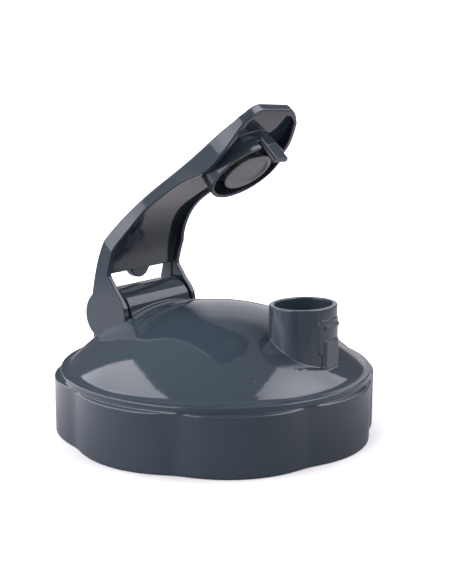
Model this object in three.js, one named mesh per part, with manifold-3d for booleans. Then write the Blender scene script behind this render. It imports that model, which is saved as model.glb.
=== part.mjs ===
// Screw-on drinking lid with a flip arm that plugs its spout.
// Millimetres, +Z up. The origin is where the lid's axis meets the plane of the skirt's bottom edge.
// +X runs from the hinge towards the spout, and the hinge axis runs along Y.
import * as THREE from 'three';
import { mergeVertices } from 'three/addons/utils/BufferGeometryUtils.js';
import Module from 'manifold-3d';

const wasm = await Module();
wasm.setup();

// ---- Driving dimensions ----
const SKIRT = {
  lobes: 8, pointsPerLobe: 12, valleyRadius: 46.3, bulge: 2.0, shoulderHeight: 16.9, shoulderChamfer: 0.5, bore: 44.0,
};
const RING = { radius: 46.5, height: 18.8, edge: 0.5 };
const DOME = { footRadius: 44.3, height: 36.9, wall: 2.2, power: 2.05, fullness: 0.893, outerSteps: 12, innerSteps: 8 };
const SEAT = { ceiling: 16.6, wallOuter: 40.7, wallInner: 39.2, wallBottom: 12 };
const THREAD = { radius: 44.3, section: 1.2, bottom: 3.4, pitch: 4, turns: 1.5, crest: 45, lowest: 1, highest: 14 };
const GASKET = { outer: 43.7, inner: 41.0, thickness: 2.0, gap: 0.3, edge: 0.4 };
const SPOUT = { x: 30, root: 22, height: 40.2, outer: [9.1, 11.1], bore: [7.6, 9.6] };
const CATCH = { reach: 39.6, halfWidth: 3.6, bottom: 34.5, top: 35.7 };
const BOSS = { reach: 39.7, halfWidth: 3.6, root: 21, top: 31.1 };
const HINGE = { x: -28.7, z: 32.3, barrelRadius: 7.9, barrelHalfWidth: 14.9, pedestalDrop: 12 };
const POCKET = { radius: 8.6, outer: 18.1, rootRadius: 10.8, rootHalfWidth: 20.3 };
const APRON = { front: -13, slope: 7, halfWidth: 18.1, bottom: 20, top: 40 };
const CORE = { length: 10.6, halfWidth: 13.0, bottom: 10, top: 28.6 };
const PIN = { radius: 1.5, halfLength: 16.6, clearance: 0.1, segments: 24 };
const OPEN_ANGLE = THREE.MathUtils.degToRad(43.6);
// The arm's own frame is its shut position, with the hinge axis as its origin.
const EAR = { radius: 8.0, outer: 17.8, inner: 15.4, socketDepth: 1.5 };
const NECK = { foot: [0, 7], front: [7.5, -3] };
const ARM = { wall: 2.0, tipLength: 78, tipHalfWidth: 9.6, tipWall: 1.8, crownEnd: 12.2, hollowStart: 7.8 };
// The blank that the arm's outlines are cut from. It is larger than the arm on every side.
const BLANK = { halfWidth: 20, rear: -10, below: -12, above: 24 };
const TAB = { radius: 4.9, bottom: 9.4, root: 13.4, from: -3.1, to: -0.7 };
const CUP = { x: 58.9, mouth: 4.4, top: 11.2, outer: [11.2, 14.0], inner: [10.0, 12.8], floor: 10.0 };
const PLUG_CORE = { radii: [4.6, 7.0], bottom: 6.7 };
const SEAL = {
  radii: [6.8, 9.2], bottom: 4.5, top: 8.9, edge: 0.7, dish: [5.0, 7.4], dishDepth: 0.5, pocketFloor: 6.4, coreGap: 0.3,
};
const LATCH = { outer: 70.2, thickness: 1.3, halfWidth: 3.6, bottom: -0.5, top: 7.8, lipReach: 68.5, lipHeight: 1.2 };
const SLOT = { halfWidth: 4.5, top: 6.8, reach: 20 };
// How far a cut runs past the face that it opens.
const PAST = 1;
const ROUND = 72;

// ---- Solids: three.js shapes handed to manifold for joining and cutting ----
function toSolid(geometry) {
  const bare = geometry.index ? geometry : geometry.clone();
  bare.deleteAttribute('normal');
  bare.deleteAttribute('uv');
  const merged = mergeVertices(bare, 1e-4);
  const vertProperties = new Float32Array(merged.attributes.position.array);
  const triVerts = new Uint32Array(merged.index.array);
  return new wasm.Manifold(new wasm.Mesh({ numProp: 3, vertProperties, triVerts }));
}

function toMesh(name, solid, material) {
  const { numProp, vertProperties, triVerts } = solid.getMesh();
  const geometry = new THREE.BufferGeometry();
  geometry.setAttribute('position', new THREE.BufferAttribute(new Float32Array(vertProperties), numProp));
  geometry.setIndex(new THREE.BufferAttribute(new Uint32Array(triVerts), 1));
  geometry.computeVertexNormals();
  const mesh = new THREE.Mesh(geometry, material);
  mesh.name = name;
  return mesh;
}

const join = (...solids) => solids.reduce((a, b) => a.add(b));

function box([x0, x1], [y0, y1], [z0, z1]) {
  const geometry = new THREE.BoxGeometry(x1 - x0, y1 - y0, z1 - z0);
  geometry.translate((x0 + x1) / 2, (y0 + y1) / 2, (z0 + z1) / 2);
  return toSolid(geometry);
}

// A prism standing on an outline drawn in X and Y.
function prism(shape, z0, z1, curveSegments = 18) {
  const geometry = new THREE.ExtrudeGeometry(shape, { depth: z1 - z0, bevelEnabled: false, curveSegments });
  geometry.translate(0, 0, z0);
  return toSolid(geometry);
}

// A plate lying across Y on an outline drawn in X and Z.
function plate(shape, y0, y1, curveSegments = 12) {
  const geometry = new THREE.ExtrudeGeometry(shape, { depth: y1 - y0, bevelEnabled: false, curveSegments });
  geometry.rotateX(Math.PI / 2);
  geometry.translate(0, y1, 0);
  return toSolid(geometry);
}

// A turned body about the Z axis, from [radius, height] points.
function turned(points, segments = ROUND) {
  const geometry = new THREE.LatheGeometry(points.map(([r, z]) => new THREE.Vector2(r, z)), segments);
  geometry.rotateX(Math.PI / 2);
  return toSolid(geometry);
}

// A round bar lying along Y.
function barY(radius, y0, y1, segments = 40) {
  const geometry = new THREE.CylinderGeometry(radius, radius, y1 - y0, segments);
  geometry.translate(0, (y0 + y1) / 2, 0);
  return toSolid(geometry);
}

function ovalShape(x, [rx, ry]) {
  return new THREE.Shape().absellipse(x, 0, rx, ry, 0, 2 * Math.PI);
}

const oval = (x, radii, z0, z1) => prism(ovalShape(x, radii), z0, z1, 18);

function outline(points) {
  return new THREE.Shape(points.map(([x, y]) => new THREE.Vector2(x, y)));
}

function smooth(points, count) {
  const curve = new THREE.SplineCurve(points.map(([x, y]) => new THREE.Vector2(x, y)));
  return curve.getPoints(count).map((p) => [p.x, p.y]);
}

const bothSides = (make) => make(1).add(make(-1));

// ---- Lid body ----
const domeHeight = (r) => {
  const rise = DOME.height - RING.height;
  return RING.height + rise * Math.pow(1 - Math.pow(r / DOME.footRadius, DOME.power), DOME.fullness);
};

function domeProfile(footRadius, steps, drop) {
  const points = [];
  for (let i = steps; i >= 0; i -= 1) {
    const r = footRadius * Math.sin((Math.PI / 2) * (i / steps));
    points.push([r, domeHeight(r) - drop]);
  }
  points[points.length - 1][0] = 0;
  return points;
}

function lobedOutline(inset) {
  const points = [];
  const count = SKIRT.lobes * SKIRT.pointsPerLobe;
  for (let i = 0; i < count; i += 1) {
    const angle = (2 * Math.PI * i) / count;
    const radius = SKIRT.valleyRadius - inset + SKIRT.bulge * Math.abs(Math.cos((SKIRT.lobes / 2) * angle));
    points.push([radius * Math.cos(angle), radius * Math.sin(angle)]);
  }
  return outline(points);
}

function skirtOutside() {
  const lower = prism(lobedOutline(0), 0, SKIRT.shoulderHeight - SKIRT.shoulderChamfer);
  const shoulder = prism(lobedOutline(SKIRT.shoulderChamfer), SEAT.wallBottom, SKIRT.shoulderHeight);
  const ring = turned([
    [0, SEAT.wallBottom], [RING.radius, SEAT.wallBottom], [RING.radius, RING.height - RING.edge],
    [RING.radius - RING.edge, RING.height], [0, RING.height],
  ]);
  return join(lower, shoulder, ring);
}

function domeOutside() {
  const base = SEAT.wallBottom;
  return turned([[0, base], [DOME.footRadius, base], ...domeProfile(DOME.footRadius, DOME.outerSteps, 0)]);
}

function inside() {
  return turned([
    [0, -PAST], [SKIRT.bore, -PAST], [SKIRT.bore, SEAT.ceiling], [SEAT.wallOuter, SEAT.ceiling],
    [SEAT.wallOuter, SEAT.wallBottom], [SEAT.wallInner, SEAT.wallBottom],
    ...domeProfile(SEAT.wallInner, DOME.innerSteps, DOME.wall),
  ]);
}

class Helix extends THREE.Curve {
  getPoint(t, target = new THREE.Vector3()) {
    const angle = 2 * Math.PI * THREAD.turns * t;
    const z = THREAD.bottom + THREAD.pitch * THREAD.turns * t;
    return target.set(THREAD.radius * Math.cos(angle), THREAD.radius * Math.sin(angle), z);
  }
}

function thread() {
  const section = new THREE.Shape().absarc(0, 0, THREAD.section, 0, 2 * Math.PI);
  const geometry = new THREE.ExtrudeGeometry(section, { extrudePath: new Helix(), steps: 54, curveSegments: 3 });
  return toSolid(geometry);
}

function hingeBarrel() {
  const { x, z, barrelRadius: r, barrelHalfWidth: w, pedestalDrop } = HINGE;
  return barY(r, -w, w).translate([x, 0, z]).add(box([x - r, x + r], [-w, w], [z - pedestalDrop, z]));
}

// The low ramp between the dome and the barrel: the dome's own surface, tipped up about the ramp's front edge.
function apron() {
  const { front, slope, halfWidth: w, bottom, top } = APRON;
  const height = domeHeight(-front);
  const tipped = domeOutside().translate([-front, 0, -height]).rotate([0, slope, 0]).translate([front, 0, height]);
  return tipped.intersect(box([HINGE.x, front], [-w, w], [bottom, top]));
}

// The dome is thicker under the hinge, so that the ear pockets don't break through.
function hingeRoot() {
  const { rootRadius: r, rootHalfWidth: w } = POCKET;
  return barY(r, -w, w).translate([HINGE.x, 0, HINGE.z]).intersect(domeOutside());
}

function earPocket(side) {
  const from = HINGE.barrelHalfWidth;
  const [y0, y1] = side > 0 ? [from, POCKET.outer] : [-POCKET.outer, -from];
  return barY(POCKET.radius, y0, y1).translate([HINGE.x, 0, HINGE.z]);
}

function lidBody() {
  const spoutOutside = oval(SPOUT.x, SPOUT.outer, SPOUT.root, SPOUT.height);
  const catchLedge = box([SPOUT.x, CATCH.reach], [-CATCH.halfWidth, CATCH.halfWidth], [CATCH.bottom, CATCH.top]);
  const boss = box([SPOUT.x, BOSS.reach], [-BOSS.halfWidth, BOSS.halfWidth], [BOSS.root, BOSS.top]);
  const outside = join(skirtOutside(), domeOutside(), apron(), spoutOutside, catchLedge, boss, hingeBarrel());
  const core = box(
    [HINGE.x - CORE.length / 2, HINGE.x + CORE.length / 2], [-CORE.halfWidth, CORE.halfWidth], [CORE.bottom, CORE.top],
  );
  const pinHole = barY(PIN.radius + PIN.clearance, -BLANK.halfWidth, BLANK.halfWidth, PIN.segments);
  const { crest, lowest, highest } = THREAD;
  const threadRidge = thread().intersect(turned([[0, lowest], [crest, lowest], [crest, highest], [0, highest]]));
  return outside
    .subtract(inside())
    .add(hingeRoot())
    .subtract(bothSides(earPocket))
    .subtract(core)
    .subtract(pinHole.translate([HINGE.x, 0, HINGE.z]))
    .subtract(oval(SPOUT.x, SPOUT.bore, SEAT.wallBottom, SPOUT.height + PAST))
    .add(threadRidge);
}

function gasket() {
  const top = SEAT.ceiling - GASKET.gap;
  const bottom = top - GASKET.thickness;
  const { inner, outer, edge } = GASKET;
  return turned([
    [inner, bottom + edge], [inner + edge, bottom], [outer - edge, bottom], [outer, bottom + edge],
    [outer, top], [inner, top], [inner, bottom + edge],
  ]);
}

// ---- Flip arm, in its own shut frame ----
const toShutFrame = (solid) => solid.rotate([0, THREE.MathUtils.radToDeg(OPEN_ANGLE), 0]);

const underEdge = smooth([
  [9.3, 8.1], [16, 12], [23.4, 14.1], [30.5, 14.9], [37, 14.2], [48.7, 10.8], [56.7, 7.4], [62, 6.6],
  [70.5, 7.9], [ARM.tipLength, 10.3],
], 24);
const topEdge = smooth([
  [ARM.tipLength, 12.8], [75.8, 12.0], [70.5, 11.6], [59.4, 12.6], [42.2, 16.6], [32, 18.3], [22, 18.1],
  [9.7, 14.1], [1.4, 8.8],
], 24);
const ceiling = smooth([
  [ARM.hollowStart, 9.2], [11, 11.9], [22.5, 16.1], [32, 15.9], [41.6, 14.0], [59, 11.0], [70, 10.4],
  [ARM.tipLength - ARM.tipWall, 11.0],
], 20);
const halfWidth = smooth([
  [15.7, EAR.outer], [20, 15.8], [26.7, 13.6], [34.7, 12.7], [42.7, 13.2], [53.7, 15.5], [61.7, 16.7],
  [68, 16.2], [74, 14],
], 20);

function sideBody() {
  const { halfWidth: w } = BLANK;
  return plate(outline([...underEdge, ...topEdge, NECK.foot, NECK.front]), -w, w).add(barY(EAR.radius, -w, w));
}

function planBody(inset, tip) {
  const edge = [[BLANK.rear, EAR.outer - inset], ...halfWidth.map(([x, w]) => [x, w - inset])];
  edge.push([tip, ARM.tipHalfWidth - inset / 2]);
  const mirrored = edge.map(([x, w]) => [x, -w]).reverse();
  return prism(outline([...edge, ...mirrored]), BLANK.below, BLANK.above);
}

function armHollow() {
  const tip = ARM.tipLength - ARM.tipWall;
  const below = [[tip, BLANK.below], [ARM.hollowStart, BLANK.below]];
  return plate(outline([...ceiling, ...below]), -BLANK.halfWidth, BLANK.halfWidth).intersect(planBody(ARM.wall, tip));
}

function betweenEars() {
  const { above } = BLANK;
  return toShutFrame(box([-above, above], [-EAR.inner, EAR.inner], [-above, ARM.crownEnd]));
}

// A round-ended tongue that carries the crown's end on towards the barrel.
function detentTab() {
  const disc = barY(TAB.radius, TAB.from, TAB.to).rotate([0, 0, -90]);
  const lower = box([TAB.from, TAB.to], [-TAB.radius, TAB.radius], [TAB.bottom, TAB.root]);
  return toShutFrame(disc.translate([0, 0, TAB.bottom + TAB.radius]).intersect(lower));
}

function plugCup() {
  return oval(CUP.x, CUP.outer, CUP.mouth, CUP.top)
    .subtract(oval(CUP.x, CUP.inner, CUP.mouth - PAST, CUP.floor))
    .subtract(box([CUP.x, CUP.x + SLOT.reach], [-SLOT.halfWidth, SLOT.halfWidth], [CUP.mouth - PAST, SLOT.top]))
    .add(oval(CUP.x, PLUG_CORE.radii, PLUG_CORE.bottom, CUP.top));
}

function latch() {
  const { outer, thickness, halfWidth: w, bottom, top, lipReach, lipHeight } = LATCH;
  const stem = box([outer - thickness, outer], [-w, w], [bottom, top]);
  return stem.add(box([lipReach, outer], [-w, w], [bottom, bottom + lipHeight]));
}

function pinSocket(side) {
  const end = EAR.inner + EAR.socketDepth;
  const [y0, y1] = side > 0 ? [EAR.inner - PAST, end] : [-end, PAST - EAR.inner];
  return barY(PIN.radius + PIN.clearance, y0, y1, PIN.segments);
}

function flipArm() {
  const shell = sideBody()
    .intersect(planBody(0, ARM.tipLength))
    .subtract(armHollow())
    .subtract(betweenEars());
  const cup = plugCup().intersect(underCrown());
  return join(shell, detentTab(), cup, latch()).subtract(bothSides(pinSocket));
}

// Everything below the crown's outer face, so that the cup doesn't show through it.
function underCrown() {
  const { halfWidth: w, below } = BLANK;
  return plate(outline([...topEdge, [0, below], [ARM.tipLength, below]]), -w, w);
}

function plugSeal() {
  const { radii, bottom, top, edge, dish, dishDepth, pocketFloor, coreGap } = SEAL;
  const inset = radii.map((r) => r - edge);
  const pocket = PLUG_CORE.radii.map((r) => r + coreGap);
  return oval(CUP.x, radii, bottom + edge, top)
    .add(oval(CUP.x, inset, bottom, top))
    .subtract(oval(CUP.x, dish, bottom - PAST, bottom + dishDepth))
    .subtract(oval(CUP.x, pocket, pocketFloor, top + PAST));
}

// ---- Materials ----
const slatePlastic = new THREE.MeshStandardMaterial({ color: 0x3c4650, roughness: 0.22, metalness: 0 });
const sealSilicone = new THREE.MeshStandardMaterial({ color: 0x939394, roughness: 0.55, metalness: 0 });
const gasketSilicone = new THREE.MeshStandardMaterial({ color: 0x6f7274, roughness: 0.6, metalness: 0 });
const steel = new THREE.MeshStandardMaterial({ color: 0xb9bcc0, roughness: 0.3, metalness: 1 });

// ---- Assembly ----
const lid = new THREE.Group();
lid.add(toMesh('lid_body', lidBody(), slatePlastic));
lid.add(toMesh('lid_gasket', gasket(), gasketSilicone));
const pin = barY(PIN.radius, -PIN.halfLength, PIN.halfLength, PIN.segments).translate([HINGE.x, 0, HINGE.z]);
lid.add(toMesh('hinge_pin', pin, steel));

const flip = new THREE.Group();
flip.position.set(HINGE.x, 0, HINGE.z);
flip.rotation.y = -OPEN_ANGLE;
flip.add(toMesh('flip_arm', flipArm(), slatePlastic));
flip.add(toMesh('plug_seal', plugSeal(), sealSilicone));
lid.add(flip);

export default lid;
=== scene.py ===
"""The looks of a screw-on drinking lid with a flip arm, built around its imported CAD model.

Every moulded piece is drawn as a distance field in millimetres, with dimensions that follow the CAD part's,
so that each joint between two shapes gets its fillet. The field's surface is meshed, its points are moved
onto the surface, and its normals are taken from the field. The CAD frame is in metres.
"""

import math

import bpy
import numpy as np
import openvdb
from mathutils import Matrix, Vector


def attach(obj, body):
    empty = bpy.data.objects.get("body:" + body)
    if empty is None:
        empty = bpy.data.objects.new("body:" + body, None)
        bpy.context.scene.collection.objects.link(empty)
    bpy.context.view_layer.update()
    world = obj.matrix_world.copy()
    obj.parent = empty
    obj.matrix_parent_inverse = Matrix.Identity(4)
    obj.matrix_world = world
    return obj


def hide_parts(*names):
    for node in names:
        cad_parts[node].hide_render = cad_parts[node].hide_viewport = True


MM = 0.001
# The angle between the arm's shut position and the rest pose, in which it stands open.
OPEN_ANGLE = math.radians(43.6)

# ---- Dimensions of the lid, in millimetres ----
# Keys that end in edge, corner or rim are the radii of rounded edges, and keys that end in foot or root are
# the radii of fillets. A steepness scales a field that would otherwise rise faster than a distance.
SKIRT = {"lobes": 8, "valley": 46.3, "bulge": 2.0, "crease": 0.05, "steepness": 0.99, "shoulder": 16.9,
         "shoulder_edge": 0.5, "bottom_edge": 0.4, "bore": 44.0}
RING = {"radius": 46.5, "height": 18.8, "edge": 0.45, "foot": 0.2}
DOME = {"foot_radius": 44.3, "straight": 0.3, "height": 36.9, "wall": 2.2, "power": 2.05, "fullness": 0.893,
        "sunk": 1.5, "foot": 1.0}
SEAT = {"ceiling": 16.6, "outer": 40.7, "inner": 39.2, "bottom": 12.0, "edge": 0.5, "dome_root": 1.0}
THREAD = {"radius": 44.3, "section": 1.2, "bottom": 3.4, "pitch": 4.0, "turns": 1.5, "crest": 45.0,
          "fade": 0.05, "past_end": -0.5, "steepness": 0.95, "foot": 0.4}
SPOUT = {"x": 30.0, "height": 40.2, "outer": (9.1, 11.1), "bore": (7.6, 9.6), "bore_bottom": 10, "rim": 0.35,
         "bore_edge": 0.4, "foot": 0.25, "detail_foot": 0.05}
CATCH = {"reach": 39.6, "half_width": 3.6, "bottom": 34.5, "top": 35.7, "end_edge": 0.15, "front_edge": 0.2}
PAD = {"half_width": 5.4, "bottom": 27.0, "top": 37.0, "proud": 0.3, "corner": 1.6, "edge": 0.12}
BOSS = {"reach": 39.7, "half_width": 3.6, "top": 31.1, "corner": 0.5, "top_edge": 0.25}
HINGE = {"x": -28.7, "z": 32.3, "radius": 7.9, "half_width": 14.9, "end_edge": 0.6, "foot": 0.5}
APRON = {"front": -13.0, "full": -21.2, "step": 0.2, "step_run": 0.5, "rise": 0.8, "half_width": 24.0,
         "fade": 6.0, "rear": -38.0, "rear_fade": 14.0}
POCKET = {"radius": 8.6, "outer": 18.1, "edge": 0.3, "root_radius": 10.8, "root_half_width": 20.3,
          "root_sunk": 0.2}
CORE = {"half_length": 5.3, "half_width": 13.0, "top": 28.6, "corner": 1.0, "edge": 0.4}
PIN_HOLE = 1.6

# ---- Dimensions of the arm, in its shut frame with the hinge axis as origin ----
EAR = {"radius": 8.0, "outer": 17.8, "inner": 15.4, "socket": 1.5, "foot": 0.6}
NECK = {"rear": (0, 7), "front": (7.5, -3), "front_root": 0.5, "edge": 0.3}
ARM = {"wall": 2.0, "tip": 78.0, "tip_wall": 1.8, "crown_end": 12.2, "tip_corner": 2.0, "edge": 0.45,
       "hollow_corner": 0.8, "gap_corner": 0.6, "rim": 0.25}
TAB = {"radius": 4.9, "bottom": 9.4, "top": 13.4, "from": -3.1, "to": -0.7, "edge": 0.3, "foot": 0.2}
CUP = {"x": 58.9, "mouth": 4.4, "top": 11.2, "outer": (11.2, 14.0), "inner": (10.0, 12.8), "floor": 10.0,
       "flare": 0.07, "below_crown": 0.3, "rim": 0.3, "foot": 0.4}
CORE_PLUG = {"radii": (4.6, 7.0), "bottom": 6.7, "gap": 0.3}
SEAL = {"radii": (6.8, 9.2), "bottom": 4.2, "top": 8.9, "dish": (5.4, 7.8), "dish_depth": 0.5, "pocket": 6.4,
        "lip": 0.45, "undercut": 1.5, "steepness": 0.75, "edge": 0.2, "dish_corner": 0.3, "dish_edge": 0.25}
LATCH = {"outer": 70.2, "thickness": 1.3, "half_width": 3.6, "bottom": -0.5, "lip": 68.5, "lip_height": 1.2,
         "slot": 4.5, "slot_top": 6.8, "slot_edge": 0.2, "top": 7.8, "bevel": 0.7, "bevel_edge": 0.1,
         "side_edge": 0.15, "lip_edge": 0.2, "end_edge": 0.2, "foot": 0.3}
GASKET = {"outer": 43.7, "inner": 41.0, "bottom": 14.3, "top": 16.3, "edge": 0.4, "ribs": (0.3, 0.7),
          "rib_radius": 0.35, "rib_rise": 0.3, "rib_foot": 0.2}

# Outlines of the arm as points of x and height, or of x and half width, that a spline runs through.
UNDER_EDGE = [(9.3, 8.1), (16, 12), (23.4, 14.1), (30.5, 14.9), (37, 14.2), (48.7, 10.8), (56.7, 7.4),
              (62, 6.6), (70.5, 7.9), (78, 10.3)]
TOP_EDGE = [(1.4, 8.8), (9.7, 14.1), (22, 18.1), (32, 18.3), (42.2, 16.6), (59.4, 12.6), (70.5, 11.6),
            (75.8, 12.0), (78, 12.8)]
CEILING = [(7.8, 9.2), (11, 11.9), (22.5, 16.1), (32, 15.9), (41.6, 14.0), (59, 11.0), (70, 10.4),
           (76.2, 11.0)]
HALF_WIDTH = [(15.7, EAR["outer"]), (20, 15.8), (26.7, 13.6), (34.7, 12.7), (42.7, 13.2), (53.7, 15.5),
              (61.7, 16.7), (68, 16.2), (74, 14)]
TIP_CORNER = (ARM["tip"], 9.6)

# ---- How finely things are drawn ----
CURVE_SAMPLES = 3000
# How far the dome's curve runs straight on past its foot.
RUN_ON = 20
# Half the distance over which a field's gradient is measured.
GRADIENT_STEP = 0.02
# The least squared gradient that a point's move is worked out with.
LEAST_STEEP = 0.05
# How many pitches from the surface a field is kept.
BAND = 4
# The most triangles that a piece is thinned out to.
MOULDING_FACES = 190_000
SILICONE_FACES = 60_000


# ---- Fields: negative inside, positive outside, in millimetres ----
def fuse(a, b, radius):
    """The union of two shapes, with a fillet where they meet."""
    near_a = np.maximum(radius - a, 0)
    near_b = np.maximum(radius - b, 0)
    return np.maximum(radius, np.minimum(a, b)) - np.hypot(near_a, near_b)


def meet(a, b, radius):
    """What two shapes share, with its edge rounded."""
    return -fuse(-a, -b, radius)


def cut(a, b, radius):
    """The first shape without the second, with its edge rounded."""
    return meet(a, -b, radius)


def slab(t, low, high):
    return np.maximum(low - t, t - high)


def oval(x, y, radii):
    """Distance to an ellipse, exact enough near its outline."""
    a, b = radii
    k0 = np.hypot(x / a, y / b)
    k1 = np.hypot(x / a ** 2, y / b ** 2)
    return k0 * (k0 - 1) / np.maximum(k1, 1e-6)


def right_of(x, z, start, end):
    """How far a place lies to the right of the line from start to end."""
    run = end[0] - start[0]
    rise = end[1] - start[1]
    return ((x - start[0]) * rise - (z - start[1]) * run) / math.hypot(run, rise)


class Curve:
    """A height over x, with the factor that makes a height above it a distance."""

    def __init__(self, x, height):
        self.x = x
        self.height = height
        self.scale = 1 / np.hypot(1, np.gradient(height, x))

    def above(self, x, z):
        """How far z is above the curve."""
        return (z - np.interp(x, self.x, self.height)) * np.interp(x, self.x, self.scale)


def spline(points):
    """A smooth curve through points with rising x, as dense columns of x and height."""
    x, z = np.array(points, float).T
    h = np.diff(x)
    rise = np.diff(z) / h
    system = np.eye(len(x))
    target = np.zeros(len(x))
    for i in range(1, len(x) - 1):
        system[i, i - 1:i + 2] = h[i - 1], 2 * (h[i - 1] + h[i]), h[i]
        target[i] = 6 * (rise[i] - rise[i - 1])
    bend = np.linalg.solve(system, target)
    s = np.linspace(x[0], x[-1], CURVE_SAMPLES)
    i = np.clip(np.searchsorted(x, s) - 1, 0, len(x) - 2)
    t = s - x[i]
    u = x[i + 1] - s
    height = (bend[i] * u ** 3 + bend[i + 1] * t ** 3) / (6 * h[i])
    height += (z[i] / h[i] - bend[i] * h[i] / 6) * u + (z[i + 1] / h[i] - bend[i + 1] * h[i] / 6) * t
    return s, height


def outline(points, before, after):
    """A curve along a spline, with straight stretches to the points before and after it."""
    s, height = spline(points)
    s = np.concatenate([[p[0] for p in before], s, [p[0] for p in after]])
    height = np.concatenate([[p[1] for p in before], height, [p[1] for p in after]])
    return Curve(s, height)


def dome_outline():
    """The dome's height over its radius, straight on past its foot."""
    r = np.linspace(0, DOME["foot_radius"] - DOME["straight"], CURVE_SAMPLES)
    inside = 1 - (r / DOME["foot_radius"]) ** DOME["power"]
    height = RING["height"] + (DOME["height"] - RING["height"]) * inside ** DOME["fullness"]
    slope = (height[-1] - height[-2]) / (r[-1] - r[-2])
    return Curve(np.append(r, r[-1] + RUN_ON), np.append(height, height[-1] + RUN_ON * slope))


DOME_CURVE = dome_outline()
UNDER = outline(UNDER_EDGE, before=[(-30, -20)], after=[(90, 14.2)])
TOP = outline(TOP_EDGE, before=[(-30, -32), (0, 7)], after=[(90, 19)])
INNER = outline(CEILING, before=[(-30, -30)], after=[(90, 12)])
PLAN = outline(HALF_WIDTH, before=[(-30, EAR["outer"])], after=[TIP_CORNER, (90, -7.6)])


# ---- The lid ----
def ring_and_skirt(x, y, z, rho):
    angle = np.arctan2(y, x)
    wave = np.sqrt(np.cos(SKIRT["lobes"] / 2 * angle) ** 2 + SKIRT["crease"] ** 2)
    lobed = (rho - SKIRT["valley"] - SKIRT["bulge"] * wave) * SKIRT["steepness"]
    skirt = meet(lobed, z - SKIRT["shoulder"], SKIRT["shoulder_edge"])
    ring = meet(rho - RING["radius"], z - RING["height"], RING["edge"])
    return fuse(skirt, ring, RING["foot"])


def apron_rise(x, y):
    """How far the apron round the hinge knuckle stands above the dome."""
    behind_front = APRON["front"] - x
    step = APRON["step"] * np.clip(behind_front / APRON["step_run"], 0, 1)
    ramp = APRON["rise"] * np.clip(behind_front / (APRON["front"] - APRON["full"]), 0, 1)
    sides = np.clip((APRON["half_width"] - np.abs(y)) / APRON["fade"], 0, 1)
    rear = np.clip((x - APRON["rear"]) / APRON["rear_fade"], 0, 1)
    return (step + ramp) * sides * sides * (3 - 2 * sides) * rear * rear * (3 - 2 * rear)


def hinge_barrel(x, y, z):
    """The fixed knuckle between the arm's ears, on a pedestal that runs down into the dome."""
    dx = x - HINGE["x"]
    dz = z - HINGE["z"]
    below = np.maximum(np.abs(dx) - HINGE["radius"], dz)
    bar = np.minimum(np.hypot(dx, dz) - HINGE["radius"], below)
    return meet(bar, np.abs(y) - HINGE["half_width"], HINGE["end_edge"])


def catch_pad(wall, dx, side, z):
    """The low rounded pad on the spout's front, round the catch."""
    pad = meet(side - PAD["half_width"], slab(z, PAD["bottom"], PAD["top"]), PAD["corner"])
    return meet(pad, np.maximum(wall - PAD["proud"], -dx), PAD["edge"])


def catch_ledge(x, side, z):
    """The catch's ledge, which stands above the latch's lip when the arm is shut."""
    ledge = meet(slab(z, CATCH["bottom"], CATCH["top"]), side - CATCH["half_width"], CATCH["end_edge"])
    return meet(ledge, x - CATCH["reach"], CATCH["front_edge"])


def catch_boss(x, side, z):
    """The block below the ledge."""
    boss = meet(side - BOSS["half_width"], x - BOSS["reach"], BOSS["corner"])
    return meet(boss, z - BOSS["top"], BOSS["top_edge"])


def spout(x, y, z):
    """The oval tube with the latch's catch, its pad and the boss below it."""
    dx = x - SPOUT["x"]
    side = np.abs(y)
    wall = oval(dx, y, SPOUT["outer"])
    tube = meet(wall, z - SPOUT["height"], SPOUT["rim"])
    tube = fuse(tube, catch_pad(wall, dx, side, z), SPOUT["detail_foot"])
    tube = fuse(tube, np.maximum(catch_ledge(x, side, z), -dx), SPOUT["detail_foot"])
    return fuse(tube, np.maximum(catch_boss(x, side, z), -dx), SPOUT["detail_foot"])


def spout_bore(x, y, z):
    return np.maximum(oval(x - SPOUT["x"], y, SPOUT["bore"]), SPOUT["bore_bottom"] - z)


def lid_cavity(z, rho):
    """The space for the cup's neck and, above the seat wall, the space under the dome."""
    neck = meet(rho - SKIRT["bore"], z - SEAT["ceiling"], SEAT["edge"])
    under = meet(rho - SEAT["inner"], DOME_CURVE.above(rho, z + DOME["wall"]), SEAT["dome_root"])
    wall = meet(slab(rho, SEAT["inner"], SEAT["outer"]), SEAT["bottom"] - z, SEAT["edge"])
    return np.maximum(np.minimum(neck, under), -wall)


def thread_ridge(x, y, z, rho):
    """A rounded ridge that climbs round the bore and fades in and out at its ends."""
    turn = np.arctan2(y, x) / (2 * math.pi) % 1
    ridge = None
    for k in range(math.ceil(THREAD["turns"])):
        along = turn + k
        climb = z - THREAD["bottom"] - THREAD["pitch"] * along
        end = np.minimum(along, THREAD["turns"] - along)
        radius = THREAD["section"] * np.clip(end / THREAD["fade"], THREAD["past_end"], 1)
        bead = (np.hypot(rho - THREAD["radius"], climb) - radius) * THREAD["steepness"]
        ridge = bead if ridge is None else np.minimum(ridge, bead)
    return np.maximum(ridge, rho - THREAD["crest"])


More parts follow.
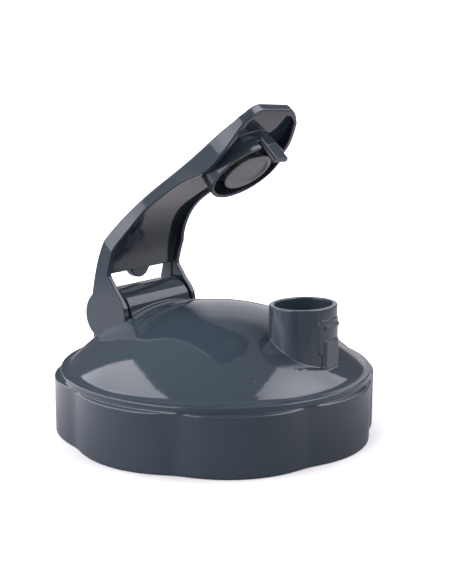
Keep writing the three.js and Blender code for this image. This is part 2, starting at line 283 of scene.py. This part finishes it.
def lid_field(x, y, z):
    rho = np.hypot(x, y)
    side = np.abs(y)
    dome = np.maximum(DOME_CURVE.above(rho, z), RING["height"] - DOME["sunk"] - z)
    shell = fuse(ring_and_skirt(x, y, z, rho), dome - apron_rise(x, y), DOME["foot"])
    shell = meet(shell, -z, SKIRT["bottom_edge"])
    shell = fuse(shell, hinge_barrel(x, y, z), HINGE["foot"])
    shell = fuse(shell, spout(x, y, z), SPOUT["foot"])
    shell = cut(shell, lid_cavity(z, rho), SEAT["edge"])
    dx = x - HINGE["x"]
    from_axis = np.hypot(dx, z - HINGE["z"])
    root = np.maximum(from_axis - POCKET["root_radius"], side - POCKET["root_half_width"])
    shell = np.minimum(shell, np.maximum(root, dome + POCKET["root_sunk"]))
    between = slab(side, HINGE["half_width"], POCKET["outer"])
    pocket = meet(from_axis - POCKET["radius"], between, POCKET["edge"])
    shell = cut(shell, pocket, POCKET["edge"])
    core = meet(np.abs(dx) - CORE["half_length"], side - CORE["half_width"], CORE["corner"])
    core = meet(core, z - CORE["top"], CORE["corner"])
    shell = cut(shell, core, CORE["edge"])
    shell = np.maximum(shell, PIN_HOLE - from_axis)
    shell = cut(shell, spout_bore(x, y, z), SPOUT["bore_edge"])
    return fuse(shell, thread_ridge(x, y, z, rho), THREAD["foot"])


# ---- The arm, its seal and the gasket ----
def arm_side(x, z):
    """The arm's outline seen along the hinge axis."""
    front = right_of(x, z, NECK["front"], UNDER_EDGE[0])
    rear = right_of(x, z, NECK["rear"], NECK["front"])
    neck = meet(TOP.above(x, z), fuse(-UNDER.above(x, z), front, NECK["front_root"]), NECK["edge"])
    neck = np.maximum(neck, rear)
    return fuse(neck, np.hypot(x, z) - EAR["radius"], EAR["foot"])


def arm_shell(x, side, z, open_z):
    """Crown, side walls and ears: one hollow shape that is open below and between the ears."""
    plan = meet(PLAN.above(x, side), x - ARM["tip"], ARM["tip_corner"])
    body = meet(arm_side(x, z), plan, ARM["edge"])
    inner_tip = x - ARM["tip"] + ARM["tip_wall"]
    inner_plan = meet(PLAN.above(x, side + ARM["wall"]), inner_tip, ARM["tip_corner"])
    hollow = meet(INNER.above(x, z), inner_plan, ARM["hollow_corner"])
    shell = cut(body, hollow, ARM["rim"])
    between = meet(side - EAR["inner"], open_z - ARM["crown_end"], ARM["gap_corner"])
    return cut(shell, between, ARM["rim"])


def crown_tab(y, open_x, open_z):
    """The half-round tab that hangs from the crown's end."""
    disc = np.hypot(y, open_z - TAB["bottom"] - TAB["radius"]) - TAB["radius"]
    tab = meet(disc, slab(open_x, TAB["from"], TAB["to"]), TAB["edge"])
    return np.maximum(tab, open_z - TAB["top"])


def plug_cup(x, y, z):
    """The oval cup round the plug, slightly wider at its mouth, with a slot where the latch stands."""
    dx = x - CUP["x"]
    bowl = np.maximum(oval(dx, y, CUP["inner"]), z - CUP["floor"])
    slot = np.maximum(np.abs(y) - LATCH["slot"], np.maximum(-dx, z - LATCH["slot_top"]))
    flared = oval(dx, y, CUP["outer"]) + CUP["flare"] * (z - CUP["mouth"])
    cup = meet(flared, CUP["mouth"] - z, CUP["rim"])
    cup = cut(cup, bowl, CUP["rim"])
    cup = cut(cup, slot, LATCH["slot_edge"])
    return np.maximum(cup, np.maximum(z - CUP["top"], TOP.above(x, z) + CUP["below_crown"]))


def plug_core(x, y, z):
    """The post in the cup that the seal is pressed over."""
    height = np.maximum(CORE_PLUG["bottom"] - z, z - CUP["top"])
    return np.maximum(oval(x - CUP["x"], y, CORE_PLUG["radii"]), height)


def latch_plate(x, side, z):
    """The plate with the latch's lip, its outer corners cut off."""
    stem = slab(x, LATCH["outer"] - LATCH["thickness"], LATCH["outer"])
    above_lip = z - LATCH["bottom"] - LATCH["lip_height"]
    hook = meet(slab(x, LATCH["lip"], LATCH["outer"]), above_lip, LATCH["lip_edge"])
    latch = meet(np.minimum(stem, hook), side - LATCH["half_width"], LATCH["side_edge"])
    bevel = (x - LATCH["outer"] + side - LATCH["half_width"] + LATCH["bevel"]) * math.sqrt(0.5)
    latch = meet(latch, bevel, LATCH["bevel_edge"])
    return meet(latch, slab(z, LATCH["bottom"], LATCH["top"]), LATCH["end_edge"])


def arm_field(x, y, z):
    side = np.abs(y)
    open_x = x * math.cos(OPEN_ANGLE) - z * math.sin(OPEN_ANGLE)
    open_z = x * math.sin(OPEN_ANGLE) + z * math.cos(OPEN_ANGLE)
    shell = arm_shell(x, side, z, open_z)
    shell = fuse(shell, crown_tab(y, open_x, open_z), TAB["foot"])
    shell = fuse(shell, plug_cup(x, y, z), CUP["foot"])
    shell = np.minimum(shell, plug_core(x, y, z))
    shell = fuse(shell, latch_plate(x, side, z), LATCH["foot"])
    socket = np.maximum(np.hypot(x, z) - PIN_HOLE, side - EAR["inner"] - EAR["socket"])
    return np.maximum(shell, -socket)


def seal_field(x, y, z):
    """The silicone plug: a thin sealing lip and a dished face on a narrower stem, hollow over its core."""
    dx = x - CUP["x"]
    narrower = np.clip(z - SEAL["bottom"] - SEAL["lip"], 0, SEAL["undercut"])
    side = (oval(dx, y, SEAL["radii"]) + narrower) * SEAL["steepness"]
    body = meet(side, slab(z, SEAL["bottom"], SEAL["top"]), SEAL["edge"])
    above_dish = z - SEAL["bottom"] - SEAL["dish_depth"]
    dish = meet(oval(dx, y, SEAL["dish"]), above_dish, SEAL["dish_corner"])
    body = cut(body, dish, SEAL["dish_edge"])
    pocket_radii = [r + CORE_PLUG["gap"] for r in CORE_PLUG["radii"]]
    pocket = np.maximum(oval(dx, y, pocket_radii), SEAL["pocket"] - z)
    return np.maximum(body, -pocket)


def gasket_field(x, y, z):
    """A flat ring with rounded edges and two low sealing ribs on its lower face."""
    rho = np.hypot(x, y)
    height = slab(z, GASKET["bottom"] + GASKET["rib_rise"], GASKET["top"])
    ring = meet(slab(rho, GASKET["inner"], GASKET["outer"]), height, GASKET["edge"])
    for rib in GASKET["ribs"]:
        middle = GASKET["inner"] + rib * (GASKET["outer"] - GASKET["inner"])
        centre = GASKET["bottom"] + GASKET["rib_radius"]
        bead = np.hypot(rho - middle, z - centre) - GASKET["rib_radius"]
        ring = fuse(ring, bead, GASKET["rib_foot"])
    return ring


# ---- From a field to a mesh ----
def gradient(field, points):
    columns = []
    for axis in range(3):
        offset = np.zeros(3)
        offset[axis] = GRADIENT_STEP
        columns.append(field(*(points + offset).T) - field(*(points - offset).T))
    return np.stack(columns, 1) / (2 * GRADIENT_STEP)


def settle(field, points, reach, rounds=2):
    """Moves points straight towards the field's zero surface, by no more than reach at a time."""
    for _ in range(rounds):
        slope = gradient(field, points)
        steep = np.maximum((slope ** 2).sum(1), LEAST_STEEP)
        shift = np.clip(field(*points.T) / steep, -reach, reach)
        points = points - slope * shift[:, None]
    return points


def graded(stops, pitches, coarser):
    """Sample places along one axis, with a pitch of its own between each two stops."""
    places = [np.arange(a, b, pitch * coarser) for a, b, pitch in zip(stops, stops[1:], pitches)]
    return np.append(np.concatenate(places), stops[-1])


def surface(field, axes):
    """The corners and quads of a field's zero surface, facing outwards."""
    shape = [len(a) for a in axes]
    band = BAND * max(np.diff(a).max() for a in axes)
    grid = field(axes[0][:, None, None], axes[1][None, :, None], axes[2][None, None, :])
    grid = np.clip(np.broadcast_to(grid, shape), -band, band).astype(np.float32)
    volume = openvdb.FloatGrid(band)
    volume.copyFromArray(grid)
    points, quads = volume.convertToQuads(0.0)
    points = np.array(points, float)
    points = np.stack([np.interp(column, np.arange(len(a)), a) for column, a in zip(points.T, axes)], 1)
    corners = points[quads]
    normals = np.cross(corners[:, 2] - corners[:, 0], corners[:, 3] - corners[:, 1])
    if (corners[:, 0] * normals).sum() < 0:
        quads = quads[:, ::-1]
    return points, quads


def thin_out(mesh, faces):
    """Collapses a mesh to about so many triangles, first where it is flattest."""
    if len(mesh.polygons) * 2 <= faces:
        return mesh
    helper = bpy.data.objects.new("helper", mesh)
    bpy.context.scene.collection.objects.link(helper)
    triangles = helper.modifiers.new("triangles", "TRIANGULATE")
    triangles.quad_method = "SHORTEST_DIAGONAL"
    fewer = helper.modifiers.new("fewer", "DECIMATE")
    fewer.ratio = faces / (len(mesh.polygons) * 2)
    graph = bpy.context.evaluated_depsgraph_get()
    thinned = bpy.data.meshes.new_from_object(helper.evaluated_get(graph))
    bpy.data.objects.remove(helper)
    return thinned


def mould(name, field, axes, faces, place=None):
    """Makes the object of one moulded piece from its field, sampled on graded axes."""
    coarser = 1.0
    axes = [graded(stops, pitches, coarser) for stops, pitches in axes]
    reach = max(np.diff(a).max() for a in axes) / 2
    points, quads = surface(field, axes)
    points = settle(field, points, reach)
    rough = bpy.data.meshes.new(name)
    rough.from_pydata(points.tolist(), [], quads.tolist())
    mesh = thin_out(rough, faces)
    points = np.zeros(len(mesh.vertices) * 3)
    mesh.vertices.foreach_get("co", points)
    points = settle(field, points.reshape(-1, 3), reach)
    normals = gradient(field, points)
    mesh.vertices.foreach_set("co", (points * MM).ravel())
    mesh.update()
    mesh.shade_smooth()
    normals /= np.maximum(np.linalg.norm(normals, axis=1), 1e-6)[:, None]
    mesh.normals_split_custom_set_from_vertices(normals.tolist())
    if place is not None:
        mesh.transform(place)
    mesh.name = name
    piece = bpy.data.objects.new(name, mesh)
    bpy.context.scene.collection.objects.link(piece)
    return piece


# ---- Node trees, written as calls ----
class Tree:
    """A node tree whose patterns depend on one texture coordinate, its place."""

    def __init__(self, tree, coordinate):
        self.tree = tree
        self.place = self.node("ShaderNodeTexCoord").outputs[coordinate]

    def node(self, kind, **settings):
        made = self.tree.nodes.new(kind)
        for key, value in settings.items():
            setattr(made, key, value)
        return made

    def link(self, source, target):
        self.tree.links.new(source, target)

    def math(self, kind, first, second):
        made = self.node("ShaderNodeMath", operation=kind)
        for socket, value in zip(made.inputs, (first, second)):
            if isinstance(value, float):
                socket.default_value = value
            else:
                self.link(value, socket)
        return made.outputs[0]

    def along(self, axis):
        """How far the place lies along a direction."""
        made = self.node("ShaderNodeVectorMath", operation="DOT_PRODUCT")
        self.link(self.place, made.inputs[0])
        made.inputs[1].default_value = axis
        return made.outputs["Value"]

    def ramp(self, value, low, high, start, end):
        """Goes from start, where value is low, to end, where it is high."""
        made = self.node("ShaderNodeMapRange")
        for key, number in zip(("From Min", "From Max", "To Min", "To Max"), (low, high, start, end)):
            made.inputs[key].default_value = number
        self.link(value, made.inputs["Value"])
        return made.outputs["Result"]


# ---- Materials ----
SLATE = ((0.031, 0.045, 0.058), (0.034, 0.049, 0.063))
DUST = (0.12, 0.13, 0.14)
SEAL_GREY = ((0.245, 0.253, 0.255), (0.28, 0.288, 0.291))
GASKET_GREY = ((0.15, 0.155, 0.16), (0.17, 0.175, 0.18))
STEEL = ((0.50, 0.50, 0.52), (0.66, 0.66, 0.68))
# The range of a noise pattern that a ramp spreads out.
NOISE_LOW = 0.3
NOISE_HIGH = 0.7


class Finish(Tree):
    """A material. Its place is the point on the object, in metres."""

    def __init__(self, name):
        self.material = bpy.data.materials.new(name)
        self.material.use_nodes = True
        super().__init__(self.material.node_tree, "Object")
        self.shader = self.tree.nodes["Principled BSDF"]

    def noise(self, scale, detail, roughness=0.5, stretch=None):
        made = self.node("ShaderNodeTexNoise")
        made.inputs["Scale"].default_value = scale
        made.inputs["Detail"].default_value = detail
        made.inputs["Roughness"].default_value = roughness
        source = self.place
        if stretch:
            mapping = self.node("ShaderNodeMapping")
            mapping.inputs["Scale"].default_value = stretch
            self.link(source, mapping.inputs["Vector"])
            source = mapping.outputs["Vector"]
        self.link(source, made.inputs["Vector"])
        return made.outputs["Fac"]

    def spread(self, noise, start, end):
        """A noise pattern's middle range, spread from start to end."""
        return self.ramp(noise, NOISE_LOW, NOISE_HIGH, start, end)

    def mix(self, factor, first, second):
        made = self.node("ShaderNodeMix", data_type="RGBA")
        self.link(factor, made.inputs["Factor"])
        for socket, value in ((made.inputs["A"], first), (made.inputs["B"], second)):
            if isinstance(value, tuple):
                socket.default_value = (*value, 1)
            else:
                self.link(value, socket)
        return made.outputs["Result"]

    def specks(self, scale, size, rarity, strength=0.7, fade=1.6):
        """Small round specks, which only the rarer cells of the pattern hold."""
        cells = self.node("ShaderNodeTexVoronoi")
        cells.inputs["Scale"].default_value = scale
        self.link(self.place, cells.inputs["Vector"])
        dot = self.ramp(cells.outputs["Distance"], size, size * fade, strength, 0.0)
        parts = self.node("ShaderNodeSeparateColor")
        self.link(cells.outputs["Color"], parts.inputs["Color"])
        return self.math("MULTIPLY", dot, self.math("GREATER_THAN", parts.outputs["Red"], rarity))

    def bump(self, height, distance):
        made = self.node("ShaderNodeBump")
        made.inputs["Distance"].default_value = distance
        self.link(height, made.inputs["Height"])
        return made.outputs["Normal"]

    def connect(self, colour, roughness, normal=None, ior=1.5):
        """Connects what the shader takes from patterns."""
        self.link(colour, self.shader.inputs["Base Color"])
        self.link(roughness, self.shader.inputs["Roughness"])
        if normal is not None:
            self.link(normal, self.shader.inputs["Normal"])
        self.shader.inputs["IOR"].default_value = ior
        return self.material


def slate_plastic():
    """Polished dark slate moulding: faint flow shading, handling marks, a trace of orange peel and dust."""
    n = Finish("slate_plastic")
    colour = n.mix(n.spread(n.noise(scale=40, detail=3.0), 0, 1), *SLATE)
    colour = n.mix(n.specks(scale=230, size=0.035, rarity=0.90), colour, DUST)
    handling = n.noise(scale=130, detail=5.0, roughness=0.65, stretch=(1, 1, 0.5))
    roughness = n.ramp(handling, low=0.35, high=0.75, start=0.05, end=0.11)
    orange_peel = n.bump(n.noise(scale=450, detail=2.0), distance=0.000012)
    return n.connect(colour, roughness, orange_peel)


def silicone(name, greys):
    """Satin silicone with a fine powdery grain."""
    n = Finish(name)
    colour = n.mix(n.spread(n.noise(scale=260, detail=4.0, roughness=0.6), 0, 1), *greys)
    roughness = n.spread(n.noise(scale=900, detail=3.0), 0.28, 0.40)
    grain = n.bump(n.noise(scale=2400, detail=2.0), distance=0.00002)
    return n.connect(colour, roughness, grain, ior=1.42)


def ground_steel():
    """Steel rod ground along its length."""
    n = Finish("pin_steel")
    grain = n.noise(scale=700, detail=4.0, roughness=0.6, stretch=(6, 0.15, 6))
    n.shader.inputs["Metallic"].default_value = 1.0
    return n.connect(n.mix(grain, *STEEL), n.spread(grain, 0.24, 0.4))


# Directions on the floor, and ramps over the distance along them or from the lid's axis: from this distance
# to that one in metres, and from this value to that one.
TO_FRONT = (0.57, -0.82, 0)
TO_BACK = (-0.57, 0.82, 0)
TO_LEFT = (-1.0, -0.09, 0)
TO_RIGHT = (0.90, 0.44, 0)
# LEFT_RAMP, LEFT_REAR_RAMP and RIGHT_RAMP paint light onto the table that the lid's reflections see.
PAPER_RAMP = (0.037, 0.051, 0.0, 1.0)
LEFT_RAMP = (0.01, 0.09, 0.0, 0.52)
LEFT_REAR_RAMP = (0.05, 0.15, 1.0, 0.0)
FRONT_RAMP = (0.12, 0.20, 0.0, 0.22)
RIGHT_RAMP = (0.055, 0.085, 0.0, 0.21)
FAR_RAMP = (0.22, 0.30, 1.0, 0.25)
# How much further out the painted contact shadow round the lid reaches towards the front.
PAINTED_SHADOW_STRETCH = 0.25
# The grey of the painted contact shadow at the lid, which PAPER_RAMP fades into the white paper further out.
PAINTED_SHADOW = (0.80, 0.81, 0.79)
PAPER = (1.35, 1.35, 1.35)
TABLE_SHADE = 0.27
TABLE_TINT = (1.03, 0.985, 1.01)
FLOOR_ROUGHNESS = 0.6
# Half the floor's side, in metres.
FLOOR_HALF = 20.0


def pale_floor():
    """White paper to the camera, with a painted contact shadow that darkens it right at the lid.

    Reflections in the lid see a dimmer table instead, with painted light to the left and right, and darker in
    front and far away.
    """
    n = Finish("pale_floor")
    length = n.node("ShaderNodeVectorMath", operation="LENGTH")
    n.link(n.place, length.inputs[0])
    away = length.outputs["Value"]
    front = n.along(TO_FRONT)
    # A painted contact shadow: the paper is darker right at the lid, and reaches further out in front.
    painted_shadow_reach = n.math("SUBTRACT", away, n.math("MULTIPLY", front, PAINTED_SHADOW_STRETCH))
    seen = n.mix(n.ramp(painted_shadow_reach, *PAPER_RAMP), PAINTED_SHADOW, PAPER)
    # Painted light on the table that reflections see: lighter to the left here, and to the right below.
    left = n.ramp(n.along(TO_LEFT), *LEFT_RAMP)
    left = n.math("MULTIPLY", left, n.ramp(n.along(TO_BACK), *LEFT_REAR_RAMP))
    shade = n.math("SUBTRACT", n.math("ADD", left, TABLE_SHADE), n.ramp(front, *FRONT_RAMP))
    shade = n.math("MULTIPLY", shade, n.ramp(away, *FAR_RAMP))
    shade = n.math("ADD", shade, n.ramp(n.along(TO_RIGHT), *RIGHT_RAMP))
    reflected = n.mix(shade, (0.0, 0.0, 0.0), TABLE_TINT)
    to_camera = n.node("ShaderNodeLightPath").outputs["Is Camera Ray"]
    n.link(n.mix(to_camera, reflected, seen), n.shader.inputs["Base Color"])
    n.shader.inputs["Roughness"].default_value = FLOOR_ROUGHNESS
    return n.material


# ---- Stage, light and camera ----
# Angles in degrees. Distance, aim from the frame's origin, focal length and sensor width in millimetres.
CAMERA = {"azimuth": 34.7, "elevation": 10.71, "distance": 277.0, "roll": 0.30, "aim_right": 2.87,
          "aim_height": 40.12, "lens": 57.057534, "sensor": 36.0}


def direction(azimuth, elevation):
    a = math.radians(azimuth)
    e = math.radians(elevation)
    return Vector((math.sin(a) * math.cos(e), -math.cos(a) * math.cos(e), math.sin(e)))


def add_camera():
    back = direction(CAMERA["azimuth"], CAMERA["elevation"])
    level = Vector((0, 0, 1)).cross(back).normalized()
    aim = level * CAMERA["aim_right"] + Vector((0, 0, CAMERA["aim_height"]))
    roll = math.radians(CAMERA["roll"])
    right = level * math.cos(roll) + back.cross(level) * math.sin(roll)
    data = bpy.data.cameras.new("camera")
    data.sensor_width = CAMERA["sensor"]
    data.lens = CAMERA["lens"]
    camera = bpy.data.objects.new("camera", data)
    turn = Matrix((right, back.cross(right), back)).transposed().to_4x4()
    camera.matrix_world = Matrix.Translation((aim + back * CAMERA["distance"]) * MM) @ turn
    bpy.context.scene.collection.objects.link(camera)
    bpy.context.scene.camera = camera


def add_stage():
    corners = [(-FLOOR_HALF, -FLOOR_HALF, 0), (FLOOR_HALF, -FLOOR_HALF, 0), (FLOOR_HALF, FLOOR_HALF, 0),
               (-FLOOR_HALF, FLOOR_HALF, 0)]
    mesh = bpy.data.meshes.new("floor")
    mesh.from_pydata(corners, [], [(0, 1, 2, 3)])
    mesh.materials.append(pale_floor())
    floor = bpy.data.objects.new("floor", mesh)
    bpy.context.scene.collection.objects.link(floor)


# Panels of light. Corners and middles are azimuth and elevation seen from the lid, the corners anticlockwise
# from inside. A fade gives where along an axis a glow starts and where it is full.
LEFT_BOX = {"corners": [(-99, -3), (8, -3), (8, 55), (-98, 46)], "softness": 0.008, "strength": 3.2,
            "middle": (-8, 12), "middle_fade": (0.93, 1.0), "middle_glow": 1.4,
            "top_fade": (0.55, 0.85), "top_glow": 1.2}
RIGHT_BOX = {"corners": [(92, 16), (165, 16), (163, 58), (97, 69)], "softness": 0.008, "strength": 2.7,
             "middle": (122, 45), "middle_fade": (0.87, 1.02), "middle_glow": 2.7}
BACKDROP = {"corners": [(-168, -4), (-140, -4), (-140, 52), (-168, 52)], "softness": 0.06, "strength": 0.85,
            "top_fade": (0.78, 0.52)}
OVERHEAD = {"strength": 0.14, "top_fade": (0.2, 0.95), "top_glow": 0.26}
STUDIO_TINT = (1.0, 0.98, 1.04, 1)


class Studio(Tree):
    """The world. Its place is the direction from the lid, one unit long."""

    def __init__(self):
        world = bpy.data.worlds.new("studio")
        world.use_nodes = True
        bpy.context.scene.world = world
        super().__init__(world.node_tree, "Generated")
        self.background = self.tree.nodes["Background"]

    def fade(self, value, start, end):
        made = self.node("ShaderNodeMapRange", interpolation_type="SMOOTHSTEP")
        made.inputs["From Min"].default_value = start
        made.inputs["From Max"].default_value = end
        self.link(value, made.inputs["Value"])
        return made.outputs["Result"]

    def panel(self, box):
        """1 inside a panel's four edges and 0 outside."""
        points = [direction(*corner) for corner in box["corners"]]
        inside = None
        for here, following in zip(points, points[1:] + points[:1]):
            across = self.along(here.cross(following).normalized())
            edge = self.fade(across, -box["softness"], box["softness"])
            inside = edge if inside is None else self.math("MULTIPLY", inside, edge)
        return inside

    def top_glow(self, box):
        """A glow that grows upwards."""
        return self.math("MULTIPLY", self.fade(self.along((0, 0, 1)), *box["top_fade"]), box["top_glow"])

    def middle_glow(self, box):
        """A glow round a panel's middle."""
        near = self.fade(self.along(direction(*box["middle"])), *box["middle_fade"])
        return self.math("MULTIPLY", near, box["middle_glow"])

    def lit(self, box, glow):
        """A panel's light: its even strength and its glow, inside its edges."""
        return self.math("MULTIPLY", self.panel(box), self.math("ADD", glow, box["strength"]))


def add_studio():
    """Panels of light round the lid, in a dim room that only the camera sees as white."""
    s = Studio()
    backdrop = s.math("MULTIPLY", s.panel(BACKDROP), s.fade(s.along((0, 0, 1)), *BACKDROP["top_fade"]))
    backdrop = s.math("MULTIPLY", backdrop, BACKDROP["strength"])
    overhead = s.math("ADD", s.top_glow(OVERHEAD), OVERHEAD["strength"])
    left = s.lit(LEFT_BOX, s.math("ADD", s.top_glow(LEFT_BOX), s.middle_glow(LEFT_BOX)))
    right = s.lit(RIGHT_BOX, s.middle_glow(RIGHT_BOX))
    light = s.math("MAXIMUM", backdrop, overhead)
    light = s.math("MAXIMUM", light, s.math("MAXIMUM", left, right))
    light = s.math("ADD", light, s.node("ShaderNodeLightPath").outputs["Is Camera Ray"])
    s.link(light, s.background.inputs["Strength"])
    s.background.inputs["Color"].default_value = STUDIO_TINT


# ---- Assembly ----
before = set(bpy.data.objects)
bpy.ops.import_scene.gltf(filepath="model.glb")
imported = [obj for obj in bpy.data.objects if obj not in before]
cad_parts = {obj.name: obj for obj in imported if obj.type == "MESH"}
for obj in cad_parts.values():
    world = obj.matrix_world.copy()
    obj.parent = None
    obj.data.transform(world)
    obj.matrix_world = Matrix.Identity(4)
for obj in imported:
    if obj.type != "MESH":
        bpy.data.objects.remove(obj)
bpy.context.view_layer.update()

add_camera()
add_stage()
add_studio()

plastic = slate_plastic()
to_hinge = Matrix.Translation(Vector((HINGE["x"], 0, HINGE["z"])) * MM)
opened = to_hinge @ Matrix.Rotation(-OPEN_ANGLE, 4, "Y")

# For x, y and z: the stops along the axis, and the sampling pitch between each two, in millimetres.
lid_axes = [((-50, -24, -12, 18, 42, 50), (0.4, 0.3, 0.4, 0.22, 0.4)), ((-50, -11, 11, 50), (0.4, 0.24, 0.4)),
            ((-1, 13, 20, 26, 42), (0.5, 0.25, 0.4, 0.25))]
lid = mould("lid_shell", lid_field, lid_axes, MOULDING_FACES)
lid.data.materials.append(plastic)
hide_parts("lid_body")
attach(lid, "lid")

arm_axes = [((-9, 47, 80), (0.3, 0.2)), ((-19, 19), (0.25,)), ((-9, -1, 13, 20), (0.3, 0.2, 0.3))]
arm = mould("arm_shell", arm_field, arm_axes, MOULDING_FACES, opened)
arm.data.materials.append(plastic)
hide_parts("flip_arm")
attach(arm, "flip")

seal_axes = [((51, 67), (0.15,)), ((-10.5, 10.5), (0.15,)), ((3.5, 10), (0.15,))]
seal = mould("seal_cap", seal_field, seal_axes, SILICONE_FACES, opened)
seal.data.materials.append(silicone("seal_silicone", SEAL_GREY))
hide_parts("plug_seal")
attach(seal, "flip")

gasket_axes = [((-45, 45), (0.3,)), ((-45, 45), (0.3,)), ((13, 17.5), (0.3,))]
gasket = mould("gasket_ring", gasket_field, gasket_axes, SILICONE_FACES)
gasket.data.materials.append(silicone("gasket_silicone", GASKET_GREY))
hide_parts("lid_gasket")
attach(gasket, "lid")

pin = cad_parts["hinge_pin"]
pin.data.materials.clear()
pin.data.materials.append(ground_steel())

bpy.context.scene.view_settings.view_transform = "Standard"
